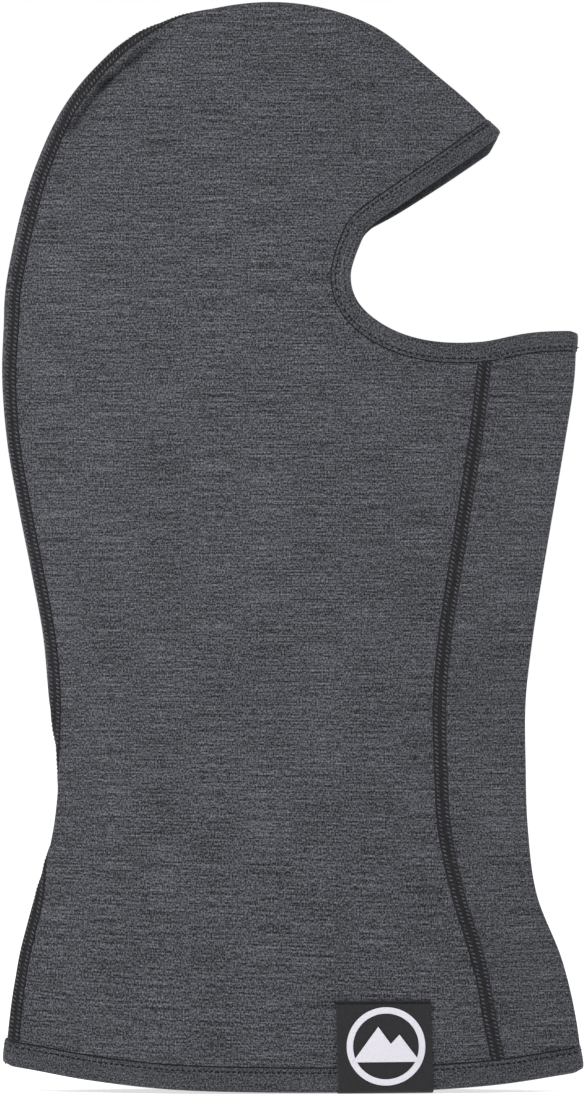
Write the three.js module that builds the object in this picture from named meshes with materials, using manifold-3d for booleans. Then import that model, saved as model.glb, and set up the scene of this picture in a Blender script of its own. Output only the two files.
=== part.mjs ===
// Balaclava: a thin knitted hood that covers the head and neck and leaves the face open.
// Two side panels and a front neck panel are joined with flatlock seams, and a folded
// binding closes the edge of the face opening and the hem. A woven label is folded over the hem.
//
// Millimetres. +Z is up, the face looks along +X and the wearer's left is +Y.
// The origin is at mid-depth of the hem, level with its lowest point.
//
// Every piece is cut from the same hood surface. In side view the surface is a flat outline,
// and its cross-sections are two shallow parabolas that meet at the back and front folds.

import * as THREE from "three";
import { ParametricGeometry } from "three/addons/geometries/ParametricGeometry.js";
import { mergeGeometries, mergeVertices } from "three/addons/utils/BufferGeometryUtils.js";
import Module from "manifold-3d";

const wasm = await Module();
wasm.setup();

// Overall sizes.
const NECK_LENGTH = 330; // from the hem up to the middle of the head
const HALF_DEPTH = 122.5; // from the middle of the head to its back fold
const HALF_WIDTH = 42; // half the width across the head, opened as it stands

// Cloth, thread and clearances.
const CLOTH = 1; // thickness of a panel
const PLY = 0.7; // thickness of one layer of binding
const GAP = 0.3; // clearance between touching pieces
const THREAD = 0.5; // height of a row of stitches
const THREAD_WIDTH = 0.7;
const SEAM_WIDTH = 6.5; // cover stitch of a flatlock seam
const SEAM_HEIGHT = 0.7;
const SEAM_CORE = 1; // thread that passes between two panels
const SEAM_TILT_SHARE = 0.6; // tilt of the cloth at the front seams, as a share of the folds'

// Bindings: width, and how far in from the folded edge their stitches run.
const FACE_BINDING_WIDTH = 8;
const FACE_STITCH_IN = 6.5;
const HEM_BINDING_WIDTH = 10;
const HEM_STITCH_IN = 8.3;
const EDGE_WRAP = 1.2; // binding that lies beyond the raw edge of a panel

// Woven label.
const LABEL_WIDTH = 40;
const LABEL_HEIGHT = 38.5; // above the hem
const LABEL_DROP = 1.6; // below the hem
const LABEL_TAIL = 12; // height of the part folded up inside
const LABEL_X = 40; // its middle, in front of the origin
const LABEL_PLY = 0.6;
const LABEL_STITCH_IN = 1.5;
const EMBLEM_RADIUS = 16.5;
const EMBLEM_RING = 2.6;
const EMBLEM_PLY = 0.3;

// Levels from the hem to the middle of the head, evenly spaced. Each holds the x of the back
// fold, the front seam and the front fold as shares of HALF_DEPTH, the half-width as a share
// of HALF_WIDTH, and how far the back seam lies to the left of the back fold, in millimetres.
const LEVELS = [
  [-1.0, 0.731, 1.01, 0.95, -2.4],
  [-0.982, 0.688, 0.989, 0.94, -2.4],
  [-0.954, 0.645, 0.937, 0.9, -2.1],
  [-0.888, 0.576, 0.85, 0.84, -1.0],
  [-0.833, 0.528, 0.819, 0.8, 2.2],
  [-0.822, 0.514, 0.811, 0.785, 1.0],
  [-0.843, 0.51, 0.811, 0.79, -1.6],
  [-0.864, 0.529, 0.836, 0.815, -1.8],
  [-0.905, 0.562, 0.871, 0.855, -1.9],
  [-0.95, 0.598, 0.909, 0.9, -2.1],
  [-0.989, 0.633, 0.947, 0.945, -2.3],
  [-1.006, 0.66, 0.985, 0.98, -2.4],
  [-1.0, 0.682, 1.0, 1.0, -2.5],
];

// The head above its middle, every 15 degrees from the front over the top to the back: the
// distance from the middle to the outline as a share of HALF_DEPTH, and the seam as above.
const HEAD = [
  [1.0, 0],
  [0.985, 0],
  [0.96, 1.5],
  [0.952, 2.8],
  [0.969, 2.8],
  [1.037, 2.8],
  [1.075, 2.8],
  [1.091, 2.6],
  [1.105, -0.3],
  [1.076, -2.2],
  [1.026, -2.7],
  [0.996, -3.1],
  [1.0, -2.5],
];

// Edge of the face opening in side view, from the brow round the cheek to the chin: x and
// height from the middle of the head as shares of HALF_DEPTH. Both ends pass the front fold.
const FACE_EDGE = [
  [1.25, 1.02],
  [0.687, 0.602],
  [0.41, 0.398],
  [0.278, 0.3],
  [0.236, 0.242],
  [0.202, 0.12],
  [0.236, 0.02],
  [0.34, -0.06],
  [0.479, -0.102],
  [0.652, -0.105],
  [0.873, -0.068],
  [1.25, -0.065],
];

// Hem in side view: x as a share of HALF_DEPTH, and height in millimetres.
const HEM_EDGE = [
  [-1.3, 15],
  [-0.95, 9.5],
  [-0.7, 4.5],
  [-0.4, 1],
  [0, 0],
  [0.4, 0.5],
  [0.7, 2.6],
  [0.95, 6.6],
  [1.3, 13],
];

// How finely the surface is divided. COLUMNS go once round, a multiple of 4.
const NECK_ROWS = 16;
const HEAD_ROWS = 12;
const COLUMNS = 20;
const EDGE_STEPS = 28;
const SEAM_GRID = [8, 1, 30];
const BELOW_HEM = 40; // how far the surface runs on below the hem before it is cut
const FAR = 300; // past every edge of the hood
const MERGE = 1e-3; // vertices this near are one
const MITRE_LIMIT = 0.6; // folds sharper than this squareness are mitred no further

const lerp = THREE.MathUtils.lerp;

// Column `column` of a table, as a smooth function of a share from 0 to 1.
function smoothColumn(table, column) {
  const points = table.map((row, i) => new THREE.Vector2(i, row[column]));
  const curve = new THREE.SplineCurve(points);
  return (share) => curve.getPoint(THREE.MathUtils.clamp(share, 0, 1)).y;
}

const backShare = smoothColumn(LEVELS, 0);
const frontSeamShare = smoothColumn(LEVELS, 1);
const frontShare = smoothColumn(LEVELS, 2);
const widthShare = smoothColumn(LEVELS, 3);
const neckSeamSide = smoothColumn(LEVELS, 4);
const headShare = smoothColumn(HEAD, 0);
const headSeamSide = smoothColumn(HEAD, 1);

// Distance from the middle of the head to the outline, at an angle up from the front.
function headRadius(angle) {
  return headShare(angle / Math.PI) * HALF_DEPTH;
}

function angleAt(x, z) {
  return Math.atan2(z - NECK_LENGTH, x);
}

// Half the width of the hood at a place in its side view. It is zero on the outline.
function halfWidthAt(x, z) {
  if (z > NECK_LENGTH) {
    const out = Math.hypot(x, z - NECK_LENGTH) / headRadius(angleAt(x, z));
    return HALF_WIDTH * Math.max(0, 1 - out * out);
  }
  const level = z / NECK_LENGTH;
  const back = backShare(level) * HALF_DEPTH;
  const front = frontShare(level) * HALF_DEPTH;
  const out = (2 * x - front - back) / (front - back);
  return HALF_WIDTH * widthShare(level) * Math.max(0, 1 - out * out);
}

// Where the back seam lies across the fold, at a place in side view.
function seamSideAt(x, z) {
  if (z > NECK_LENGTH) return headSeamSide(angleAt(x, z) / Math.PI);
  return x < 0 ? neckSeamSide(z / NECK_LENGTH) : 0;
}

// A point of the surface at a place in side view, on the right or on the left.
function surfacePoint(x, z, right, target) {
  const half = halfWidthAt(x, z);
  return target.set(x, right ? -half : half, z);
}

// The hood below the middle of the head: `round` goes once round it, along the right side
// first, and `up` goes from a closed foot below the hem to the middle of the head.
function neckPoint(round, up, target) {
  const row = up * (1 + NECK_ROWS) - 1;
  if (row < 0) return target.set(0, 0, -BELOW_HEM);
  const z = lerp(-BELOW_HEM, NECK_LENGTH, row / NECK_ROWS);
  const right = round <= 0.5;
  const forward = right ? 2 * round : 2 - 2 * round;
  const [back, front] = [backShare, frontShare].map((share) => share(z / NECK_LENGTH) * HALF_DEPTH);
  return surfacePoint(lerp(back, front, forward), z, right, target);
}

// The head above its middle, as a fan: `fan` turns from the back fold over the crown to the
// front, and `over` goes from the middle of the right side over the fold to that of the left.
function headPoint(fan, over, target) {
  const angle = (1 - fan) * Math.PI;
  const radius = (1 - Math.abs(2 * over - 1)) * headRadius(angle);
  const place = [radius * Math.cos(angle), NECK_LENGTH + radius * Math.sin(angle)];
  return surfacePoint(...place, over <= 0.5, target);
}

// A geometry with only its positions left, and each of its corners shared.
function bare(geometry) {
  geometry.deleteAttribute("normal");
  geometry.deleteAttribute("uv");
  return mergeVertices(geometry, MERGE);
}

// A manifold solid from a closed geometry.
function solid(geometry) {
  const merged = bare(geometry);
  const index = merged.index.array;
  const triangles = [];
  for (let i = 0; i < index.length; i += 3) {
    const [a, b, c] = index.slice(i, i + 3);
    if (a !== b && b !== c && c !== a) triangles.push(a, b, c);
  }
  return new wasm.Manifold(
    new wasm.Mesh({
      numProp: 3,
      vertProperties: new Float32Array(merged.attributes.position.array),
      triVerts: new Uint32Array(triangles),
    }),
  );
}

// For each vertex, how squarely its normal meets the most tilted triangle round it.
function squareness(geometry) {
  const { position, normal } = geometry.attributes;
  const least = new Float32Array(position.count).fill(1);
  const triangle = new THREE.Triangle();
  const facing = new THREE.Vector3();
  const vertexNormal = new THREE.Vector3();
  for (let i = 0; i < geometry.index.count; i += 3) {
    const corners = [0, 1, 2].map((k) => geometry.index.getX(i + k));
    triangle.setFromAttributeAndIndices(position, ...corners);
    if (triangle.getArea() < MERGE) continue;
    triangle.getNormal(facing);
    for (const corner of corners) {
      vertexNormal.fromBufferAttribute(normal, corner);
      least[corner] = Math.min(least[corner], vertexNormal.dot(facing));
    }
  }
  return least;
}

// The closed hood, with its surface moved out by `offset`. The folds move a little further, as
// a mitre does, so that the distance between two offsets is nearly the same all over.
function hood(offset) {
  const neck = new ParametricGeometry(neckPoint, COLUMNS, 1 + NECK_ROWS);
  const head = new ParametricGeometry(headPoint, HEAD_ROWS, COLUMNS / 2);
  const geometry = bare(mergeGeometries([neck, head]));
  geometry.computeVertexNormals();
  const least = squareness(geometry);
  const { position, normal } = geometry.attributes;
  const point = new THREE.Vector3();
  const away = new THREE.Vector3();
  for (let i = 0; i < position.count; i++) {
    point.fromBufferAttribute(position, i);
    away.fromBufferAttribute(normal, i);
    point.addScaledVector(away, offset / Math.max(least[i], MITRE_LIMIT));
    position.setXYZ(i, point.x, point.y, point.z);
  }
  return solid(geometry);
}

// What lies between two offsets of the hood's surface.
function layer(inner, outer) {
  return hood(outer).subtract(hood(inner));
}

// Everything whose side view lies in an outline, from y0 to y1. The outline is a shape or points.
function prism(outline, y0 = -FAR, y1 = FAR) {
  const shape = Array.isArray(outline) ? new THREE.Shape(outline) : outline;
  const geometry = new THREE.ExtrudeGeometry(shape, { depth: y1 - y0, bevelEnabled: false });
  geometry.rotateX(Math.PI / 2);
  geometry.translate(0, y1, 0);
  return solid(geometry);
}

// All that lies to the left of the back seam, or of a copy of it moved left by `shift`.
function leftOfSeam(shift) {
  const height = NECK_LENGTH + 2 * HALF_DEPTH;
  const geometry = new THREE.BoxGeometry(3 * HALF_DEPTH, FAR, height, ...SEAM_GRID);
  geometry.translate(0, FAR / 2, height / 2 - BELOW_HEM);
  const place = geometry.attributes.position;
  for (let i = 0; i < place.count; i++) {
    place.setY(i, place.getY(i) + shift + seamSideAt(place.getX(i), place.getZ(i)));
  }
  return solid(geometry);
}

// A side-view curve moved sideways by `distance`, as points.
function offsetPoints(curve, distance) {
  return Array.from({ length: EDGE_STEPS + 1 }, (_, i) => {
    const point = curve.getPoint(i / EDGE_STEPS);
    const along = curve.getTangent(i / EDGE_STEPS);
    return new THREE.Vector2(point.x + along.y * distance, point.y - along.x * distance);
  });
}

// The side-view strip between two offsets of a curve.
function strip(curve, from, to) {
  return [...offsetPoints(curve, from), ...offsetPoints(curve, to).reverse()];
}

const faceEdge = new THREE.SplineCurve(
  FACE_EDGE.map(([x, z]) => new THREE.Vector2(x * HALF_DEPTH, NECK_LENGTH + z * HALF_DEPTH)),
);
// The hem runs from front to back, so that its cloth side is the same as the face edge's.
const hemEdge = new THREE.SplineCurve(
  HEM_EDGE.map(([x, z]) => new THREE.Vector2(x * HALF_DEPTH, z)).reverse(),
);
const frontSeam = new THREE.SplineCurve(
  LEVELS.map((_, i) => {
    const level = i / (LEVELS.length - 1);
    return new THREE.Vector2(frontSeamShare(level) * HALF_DEPTH, level * NECK_LENGTH);
  }),
);

// The face opening grown by `inset` into the cloth, and all that lies below the hem so grown.
function faceHole(inset) {
  return prism(offsetPoints(faceEdge, inset));
}

function underHem(inset) {
  const points = offsetPoints(hemEdge, inset);
  return prism([...points, new THREE.Vector2(-FAR, -FAR), new THREE.Vector2(FAR, -FAR)]);
}

// In front of the front seam and below the middle of the head, moved back by `shift`.
function inFrontOfSeam(shift) {
  const points = offsetPoints(frontSeam, -shift);
  const top = points[points.length - 1];
  return prism([
    new THREE.Vector2(points[0].x, -FAR),
    ...points,
    new THREE.Vector2(top.x, NECK_LENGTH + GAP),
    new THREE.Vector2(FAR, NECK_LENGTH + GAP),
    new THREE.Vector2(FAR, -FAR),
  ]);
}

// A tilted surface looks narrower from the side, and thinner across the fold, by these shares.
const foldTilt = Math.atan((2 * HALF_WIDTH) / HALF_DEPTH);
const acrossFold = Math.sin(foldTilt);
const inSideView = Math.cos(foldTilt * SEAM_TILT_SHARE);

const frontReach = (SEAM_CORE / 2) * inSideView + GAP;
const rawEdge = EDGE_WRAP + GAP;
const bindingTop = GAP + PLY;
const bindingUnder = -CLOTH - GAP - PLY;
const labelUnder = bindingTop + GAP;
const labelTop = labelUnder + LABEL_PLY;

const cloth = layer(-CLOTH, 0).subtract(faceHole(rawEdge)).subtract(underHem(rawEdge));

function sidePanel(right) {
  const reach = (SEAM_CORE / 2) * acrossFold + GAP;
  const half = right ? cloth.subtract(leftOfSeam(-reach)) : cloth.intersect(leftOfSeam(reach));
  return half.subtract(inFrontOfSeam(frontReach));
}

function frontNeckPanel() {
  return cloth.intersect(inFrontOfSeam(-frontReach));
}

// Cloth folded round an edge: `band` is its side view, `beyond` all past the raw edge's gap.
function binding(band, beyond) {
  const inside = layer(-CLOTH - GAP, GAP).subtract(beyond);
  return layer(bindingUnder, bindingTop).intersect(prism(band)).subtract(inside);
}

// A flatlock seam: a cover of thread on each face, joined by thread between the panels.
function flatlock(cutter) {
  const outside = layer(GAP, GAP + SEAM_HEIGHT).intersect(cutter(SEAM_WIDTH / 2));
  const inside = layer(-CLOTH - GAP - SEAM_HEIGHT, -CLOTH - GAP).intersect(cutter(SEAM_WIDTH / 2));
  const core = layer(-CLOTH - GAP - SEAM_HEIGHT / 2, GAP + SEAM_HEIGHT / 2).intersect(cutter(SEAM_CORE / 2));
  return outside
    .add(core)
    .add(inside)
    .subtract(faceHole(FACE_BINDING_WIDTH + GAP))
    .subtract(underHem(HEM_BINDING_WIDTH + GAP));
}

function backSeam() {
  const front = prism(
    [[0, -FAR], [FAR, -FAR], [FAR, NECK_LENGTH], [0, NECK_LENGTH]].map(([x, z]) => new THREE.Vector2(x, z)),
  );
  return flatlock((half) =>
    leftOfSeam(-half * acrossFold).subtract(leftOfSeam(half * acrossFold)).subtract(front),
  );
}

function neckSeam(y0, y1) {
  return flatlock((half) => prism(strip(frontSeam, -half * inSideView, half * inSideView), y0, y1));
}

// One row of stitches on a binding, on its outer or its inner face.
function stitchRow(edge, inset, outside) {
  const band = prism(strip(edge, inset - THREAD_WIDTH / 2, inset + THREAD_WIDTH / 2));
  const under = outside ? bindingTop + GAP : bindingUnder - GAP - THREAD;
  return layer(under, under + THREAD).intersect(band);
}

function labelOutline(grow) {
  const half = LABEL_WIDTH / 2 + grow;
  const bottom = -LABEL_DROP - grow;
  const top = LABEL_HEIGHT + grow;
  return [
    new THREE.Vector2(LABEL_X - half, bottom),
    new THREE.Vector2(LABEL_X + half, bottom),
    new THREE.Vector2(LABEL_X + half, top),
    new THREE.Vector2(LABEL_X - half, top),
  ];
}

// The label lies on the right side, goes round the hem and ends a little way up inside.
function label() {
  const tail = prism(labelOutline(1).map((p) => (p.y > 0 ? new THREE.Vector2(p.x, LABEL_TAIL) : p)));
  const tailZone = hood(bindingUnder - GAP).intersect(tail);
  const hollow = hood(labelUnder).subtract(tailZone).subtract(underHem(-GAP));
  return hood(labelTop)
    .intersect(prism(labelOutline(0), -FAR, 0))
    .subtract(hollow)
    .subtract(hood(bindingUnder - GAP - LABEL_PLY));
}

// A ring with two mountain peaks standing in it.
function emblemShape() {
  const middle = new THREE.Vector2(LABEL_X, (LABEL_HEIGHT - LABEL_DROP) / 2);
  const at = (x, z) => [middle.x + x * EMBLEM_RADIUS, middle.y + z * EMBLEM_RADIUS];
  const ring = new THREE.Shape();
  ring.absarc(middle.x, middle.y, EMBLEM_RADIUS, 0, 2 * Math.PI);
  const hole = new THREE.Path();
  hole.absarc(middle.x, middle.y, EMBLEM_RADIUS - EMBLEM_RING, 0, 2 * Math.PI, true);
  ring.holes.push(hole);
  const peaks = new THREE.Shape();
  peaks.moveTo(...at(-0.86, -0.4));
  peaks.lineTo(...at(-0.2, 0.5));
  peaks.lineTo(...at(0.12, 0.06));
  peaks.lineTo(...at(0.34, 0.3));
  peaks.lineTo(...at(0.86, -0.4));
  return [ring, peaks];
}

function emblem() {
  const [ring, peaks] = emblemShape().map((shape) => prism(shape, -FAR, 0));
  return layer(labelTop + GAP, labelTop + GAP + EMBLEM_PLY).intersect(ring.add(peaks));
}

function labelStitching() {
  const half = LABEL_WIDTH / 2 - GAP;
  const top = LABEL_HEIGHT - LABEL_STITCH_IN;
  const band = [
    new THREE.Vector2(LABEL_X - half, top - THREAD_WIDTH),
    new THREE.Vector2(LABEL_X + half, top - THREAD_WIDTH),
    new THREE.Vector2(LABEL_X + half, top),
    new THREE.Vector2(LABEL_X - half, top),
  ];
  return layer(labelTop + GAP, labelTop + GAP + THREAD).intersect(prism(band, -FAR, 0));
}

function material(colour, roughness) {
  return new THREE.MeshStandardMaterial({ color: colour, roughness, metalness: 0 });
}

const jersey = material(0x515257, 0.95);
const bindingJersey = material(0x4e4f54, 0.95);
const thread = material(0x2d2c31, 0.8);
const wovenBlack = material(0x3c3c3e, 0.85);
const wovenWhite = material(0xe2dfe8, 0.75);

const balaclava = new THREE.Group();

function add(name, body, look) {
  const { numProp, vertProperties, triVerts } = body.getMesh();
  if (numProp !== 3) throw new Error(`${name} carries more than positions`);
  const geometry = new THREE.BufferGeometry();
  geometry.setAttribute("position", new THREE.BufferAttribute(vertProperties, 3));
  geometry.setIndex(new THREE.BufferAttribute(triVerts, 1));
  geometry.computeVertexNormals();
  const mesh = new THREE.Mesh(geometry, look);
  mesh.name = name;
  balaclava.add(mesh);
}

const faceBand = strip(faceEdge, 0, FACE_BINDING_WIDTH);
const hemBand = strip(hemEdge, 0, HEM_BINDING_WIDTH);
const underLabel = prism(labelOutline(GAP), -FAR, 0);

add("right_side_panel", sidePanel(true), jersey);
add("left_side_panel", sidePanel(false), jersey);
add("front_neck_panel", frontNeckPanel(), jersey);
add("face_binding", binding(faceBand, faceHole(EDGE_WRAP)), bindingJersey);
add("hem_binding", binding(hemBand, underHem(EDGE_WRAP)), bindingJersey);
add("back_seam_thread", backSeam(), thread);
add("right_neck_seam_thread", neckSeam(-FAR, 0), thread);
add("left_neck_seam_thread", neckSeam(0, FAR), thread);
add("face_binding_stitching", stitchRow(faceEdge, FACE_STITCH_IN, true), thread);
add("face_binding_inner_stitching", stitchRow(faceEdge, FACE_STITCH_IN, false), thread);
add("hem_stitching", stitchRow(hemEdge, HEM_STITCH_IN, true).subtract(underLabel), thread);
add("hem_inner_stitching", stitchRow(hemEdge, HEM_STITCH_IN, false).subtract(underLabel), thread);
add("woven_label", label(), wovenBlack);
add("label_emblem", emblem(), wovenWhite);
add("label_stitching", labelStitching(), thread);

export default balaclava;
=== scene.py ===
"""Looks of a thin knitted balaclava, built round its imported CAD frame.

Every sheet, seam and stitch lies on one surface. In side view the surface is a flat outline,
and its cross-sections are two shallow curves that meet at the rounded back and front folds.
A place is a point of the side view, and a side is RIGHT or LEFT.

Metres. +Z is up, the face looks along +X and the wearer's left is +Y.
"""

import math

import bmesh
import bpy
from bpy.props import FloatProperty, FloatVectorProperty, PointerProperty
from mathutils import Matrix, Vector


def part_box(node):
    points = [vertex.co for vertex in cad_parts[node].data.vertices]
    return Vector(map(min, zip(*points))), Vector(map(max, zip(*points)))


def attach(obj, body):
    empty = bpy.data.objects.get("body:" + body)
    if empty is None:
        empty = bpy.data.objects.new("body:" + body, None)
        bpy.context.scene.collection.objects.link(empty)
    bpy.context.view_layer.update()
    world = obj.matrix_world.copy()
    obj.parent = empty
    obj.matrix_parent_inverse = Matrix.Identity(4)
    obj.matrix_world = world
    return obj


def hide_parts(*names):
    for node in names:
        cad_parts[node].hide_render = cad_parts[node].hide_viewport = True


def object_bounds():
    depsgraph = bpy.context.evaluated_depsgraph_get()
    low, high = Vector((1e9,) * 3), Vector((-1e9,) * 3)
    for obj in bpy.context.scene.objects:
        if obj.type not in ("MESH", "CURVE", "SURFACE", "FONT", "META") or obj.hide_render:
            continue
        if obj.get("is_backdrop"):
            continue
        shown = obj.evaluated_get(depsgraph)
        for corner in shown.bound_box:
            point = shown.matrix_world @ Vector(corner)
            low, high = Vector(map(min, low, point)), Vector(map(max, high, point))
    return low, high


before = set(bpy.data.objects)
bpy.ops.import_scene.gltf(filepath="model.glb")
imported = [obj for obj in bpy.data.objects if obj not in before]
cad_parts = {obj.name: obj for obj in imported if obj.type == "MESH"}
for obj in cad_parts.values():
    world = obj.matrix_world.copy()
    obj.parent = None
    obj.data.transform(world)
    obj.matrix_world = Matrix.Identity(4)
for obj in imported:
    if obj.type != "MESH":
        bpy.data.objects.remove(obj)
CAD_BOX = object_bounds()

bl_info = {
    "name": "Knitted balaclava",
    "version": (1, 0, 0),
    "blender": (4, 5, 0),
    "location": "3D View > Sidebar > Balaclava",
    "description": "Builds a knitted hood with flatlock seams, folded bindings and a woven label",
    "category": "Add Mesh",
}

MM = 0.001
RIGHT = -1
LEFT = 1

# Levels from the hem to the middle of the head, evenly spaced: the back fold, the front seam
# and the front fold as shares of the half depth, and the half width as a share of the whole.
BACK = [-1, -0.99, -0.957, -0.888, -0.83, -0.812, -0.843, -0.864, -0.905, -0.95, -0.989, -1.006, -1]
SEAM = [0.731, 0.688, 0.645, 0.576, 0.528, 0.514, 0.51, 0.529, 0.562, 0.598, 0.633, 0.66, 0.682]
FRONT = [1.01, 0.989, 0.937, 0.85, 0.819, 0.811, 0.811, 0.836, 0.871, 0.909, 0.947, 0.98, 0.986]
WIDTH = [0.95, 0.94, 0.9, 0.84, 0.8, 0.785, 0.79, 0.815, 0.855, 0.9, 0.945, 0.98, 1]

# The head above its middle, every 15 degrees from the front over the top to the back: the
# distance from the middle to the outline as a share of the half depth.
HEAD = [0.986, 0.98, 0.96, 0.952, 0.969, 1.037, 1.075, 1.091, 1.105, 1.076, 1.026, 0.996, 1]

# How far round the fold the back seam lies, in millimetres to the left, at the same levels
# from the hem up, and at the same angles from the front over the top.
NECK_SEAM_SIDE = [-5.5, -5.5, -5, -2.2, 4.8, 2, -4.4, -4.7, -4.7, -4.8, -5, -5.6, -6.4]
HEAD_SEAM_SIDE = [0, 0, 3, 5, 5, 5, 5, 3.6, -2.2, -4.8, -6.1, -6.6, -6.4]

# Edge of the face opening from the brow round the cheek to the chin: x and height from the
# middle of the head as shares of the half depth. Both ends pass the front fold.
FACE_EDGE = [
    Vector(point) for point in (
        (1.25, 1.004), (0.687, 0.59), (0.41, 0.394), (0.278, 0.3), (0.236, 0.242), (0.202, 0.12),
        (0.236, 0.02), (0.34, -0.06), (0.479, -0.102), (0.652, -0.105), (0.873, -0.068),
        (1.25, -0.065),
    )
]
CHEEK = 5 / 11  # share of the face edge where the opening reaches furthest back
CHIN_SEAM = 9.13 / 11  # share of the face edge where the front seam meets it

# Hem from front to back: x as a share of the half depth, and height in millimetres.
HEM_EDGE = [
    Vector(point) for point in (
        (1.3, 13), (0.95, 6.6), (0.7, 2.6), (0.4, 0.5), (0, 0), (-0.4, 1), (-0.7, 4.5),
        (-0.95, 9.5), (-1.3, 15),
    )
]

# The left brow edge hangs a little lower than the right one, down to this share of the edge.
BROW_DROP = 4.4 * MM
BROW_DROP_END = 0.27
BROW_DROP_START = 0.05

TAIL_LEVEL = 0.955  # level of the cut end of thread under the chin

# Where the seams run: the back seam from an angle above the front of the head, with this share
# of it over the head, down to a level just above the hem; the front seams between two levels.
SEAM_BROW_ANGLE = math.radians(44.5)
PANEL_BROW_ANGLE = math.radians(43)
HEAD_PART_OF_SEAM = 0.49
BACK_SEAM_FOOT = 0.061
FRONT_SEAM_ENDS = (0.038, 0.938)

# Edges: how far raw panel edges stay inside a binding, how near a fold an edge turns along it,
# and how far a binding's corner is tucked in there.
RAW_EDGE = 1.2 * MM
CORNER_REACH = 5 * MM
FACE_TUCK = 0.7 * MM
HEM_TUCK = 1.0 * MM

# Stitches: length, width and height. Loops slant across the seam.
SEAM_LOOP = (2.0 * MM, 0.65 * MM, 0.6 * MM)
EDGE_DASH = (1.6 * MM, 0.85 * MM, 0.5 * MM)
LABEL_STITCH = (1.9 * MM, 0.7 * MM, 0.5 * MM)
THREAD_TAIL = (2.6 * MM, 0.9 * MM, 0.9 * MM)
LOOP_SLANT = math.radians(62)
DASH_SHARE = 0.82  # how far across a binding its stitches run
PAINTED_EDGE_SHADOW_SHARE = 1.03  # how far across it the thin painted shadow line beside its free edge runs

# Folds and fall of the cloth.
FOLD_TILT = math.radians(34.4)
FOLD_FADE = 9 * MM
JAW_LEVEL = 0.62  # level of the back fold that belongs with the chin end of the front seam

# How finely sheets are divided. Columns are close together beside the back fold.
CROWN_ROWS = 130
JAW_ROWS = 56
NECK_ROWS = 104
FOLD_COLUMNS = 22
FOLD_REACH = 15 * MM
SIDE_COLUMNS = 72
FRONT_COLUMNS = 44
FRONT_ROWS = 150
EDGE_PITCH = 1.1 * MM

# Cross-sections of a folded binding and of a flatlock band, in millimetres: how far across,
# and how far out from the cloth's face. The first and last points are joined.
BINDING_SECTION = [
    (1.01, 0.05), (0.99, 0.5), (0.91, 0.62), (0.82, 0.3), (0.73, 0.66), (0.5, 0.8), (0.25, 0.84),
    (0.1, 0.7), (0.02, 0.3), (-0.02, -0.5), (0.02, -1.4), (0.1, -1.9), (0.25, -2.05), (0.5, -2.05),
    (0.74, -1.9), (0.82, -1.6), (0.9, -1.8), (0.99, -1.7), (1.01, -1.1), (0.9, -1.15), (0.5, -1.2),
    (0.13, -1.12), (0.07, -0.5), (0.13, 0.12), (0.5, 0.2), (0.9, 0.15),
]
SEAM_SECTION = [
    (-1, 0.04), (-0.93, 0.34), (-0.6, 0.5), (-0.25, 0.36), (0.25, 0.36), (0.6, 0.5), (0.93, 0.34),
    (1, 0.04), (0.93, -1.3), (0.6, -1.46), (0.25, -1.34), (-0.25, -1.34), (-0.6, -1.46), (-0.93, -1.3),
]

# Creases of the right side, in millimetres: x and height of each end, half width, and how far
# the cloth stands out (or in, when negative).
CREASES = [
    (-60, 442, -79, 427, 2.2, -4.2),
    (-79, 427, -91, 410, 2.0, -3.8),
    (-55, 441, -66, 437, 5.0, -1.2),
    (-66, 444, -94, 414, 2.4, 2.0),
    (-98, 398, -80, 403, 2.6, -1.0),
    (-106, 386, -82, 390, 2.6, 1.0),
    (-110, 373, -86, 378, 2.8, -1.0),
    (-113, 359, -88, 362, 2.6, 0.9),
    (-116, 345, -90, 350, 2.8, -0.9),
    (-116, 331, -92, 333, 2.6, 0.7),
    (86, 313, 97, 304, 1.8, -1.6),
    (86, 305, 96, 297, 1.9, 1.0),
    (104, 191, 90, 187, 2.4, -1.3),
    (110, 62, 98, 58, 2.4, -1.2),
    (-93, 21, -82, 29, 2.2, -1.4),
    (52, 318, 80, 300, 6, 0.5),
    (-60, 250, 40, 262, 14, 0.6),
    (-80, 120, 30, 128, 14, -0.6),
    (-40, 60, 60, 70, 12, 0.5),
    (20, 420, 60, 398, 8, -0.5),
    (-30, 400, 10, 350, 12, 0.5),
]
CROWN_CREASES = 4  # the first ones make the crown crease, which only the right side has
# Long low swells of the whole cloth: waves per metre along x and up, phase, and height.
SWELLS = [(14, 9, 0.4, 0.5), (-9, 17, 1.9, 0.4), (31, 22, 4.0, 0.15)]

# Row of peaks in the emblem, as shares of its radius.
PEAKS = [(-0.86, -0.4), (-0.2, 0.5), (0.12, 0.06), (0.34, 0.3), (0.86, -0.4)]


def linear(red, green, blue):
    """A colour given as 0 to 255 display values, as the light that a material gives back."""
    shares = [value / 255 for value in (red, green, blue)]
    return [s / 12.92 if s <= 0.04045 else ((s + 0.055) / 1.055) ** 2.4 for s in shares]


def lerp(start, end, share):
    return start + (end - start) * share


def smooth(table, share):
    """A smooth curve through the evenly spaced rows of a table, at a share of its length."""
    place = min(max(share, 0), 1) * (len(table) - 1)
    i = min(int(place), len(table) - 2)
    t = place - i
    a, b, c, d = (table[min(max(i + k, 0), len(table) - 1)] for k in (-1, 0, 1, 2))
    pull = (a * 2 - b * 5 + c * 4 - d) * t + ((b - c) * 3 + d - a) * (t * t)
    return b + (c - a + pull) * (t / 2)


def smoothstep(share):
    share = min(max(share, 0), 1)
    return share * share * (3 - 2 * share)


def length_property(title, description, millimetres):
    return FloatProperty(name=title, description=description, default=millimetres * MM, unit="LENGTH")


def colour_property(title, description, red, green, blue):
    return FloatVectorProperty(
        name=title, description=description, subtype="COLOR", size=3, min=0, max=1,
        default=linear(red, green, blue),
    )


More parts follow.
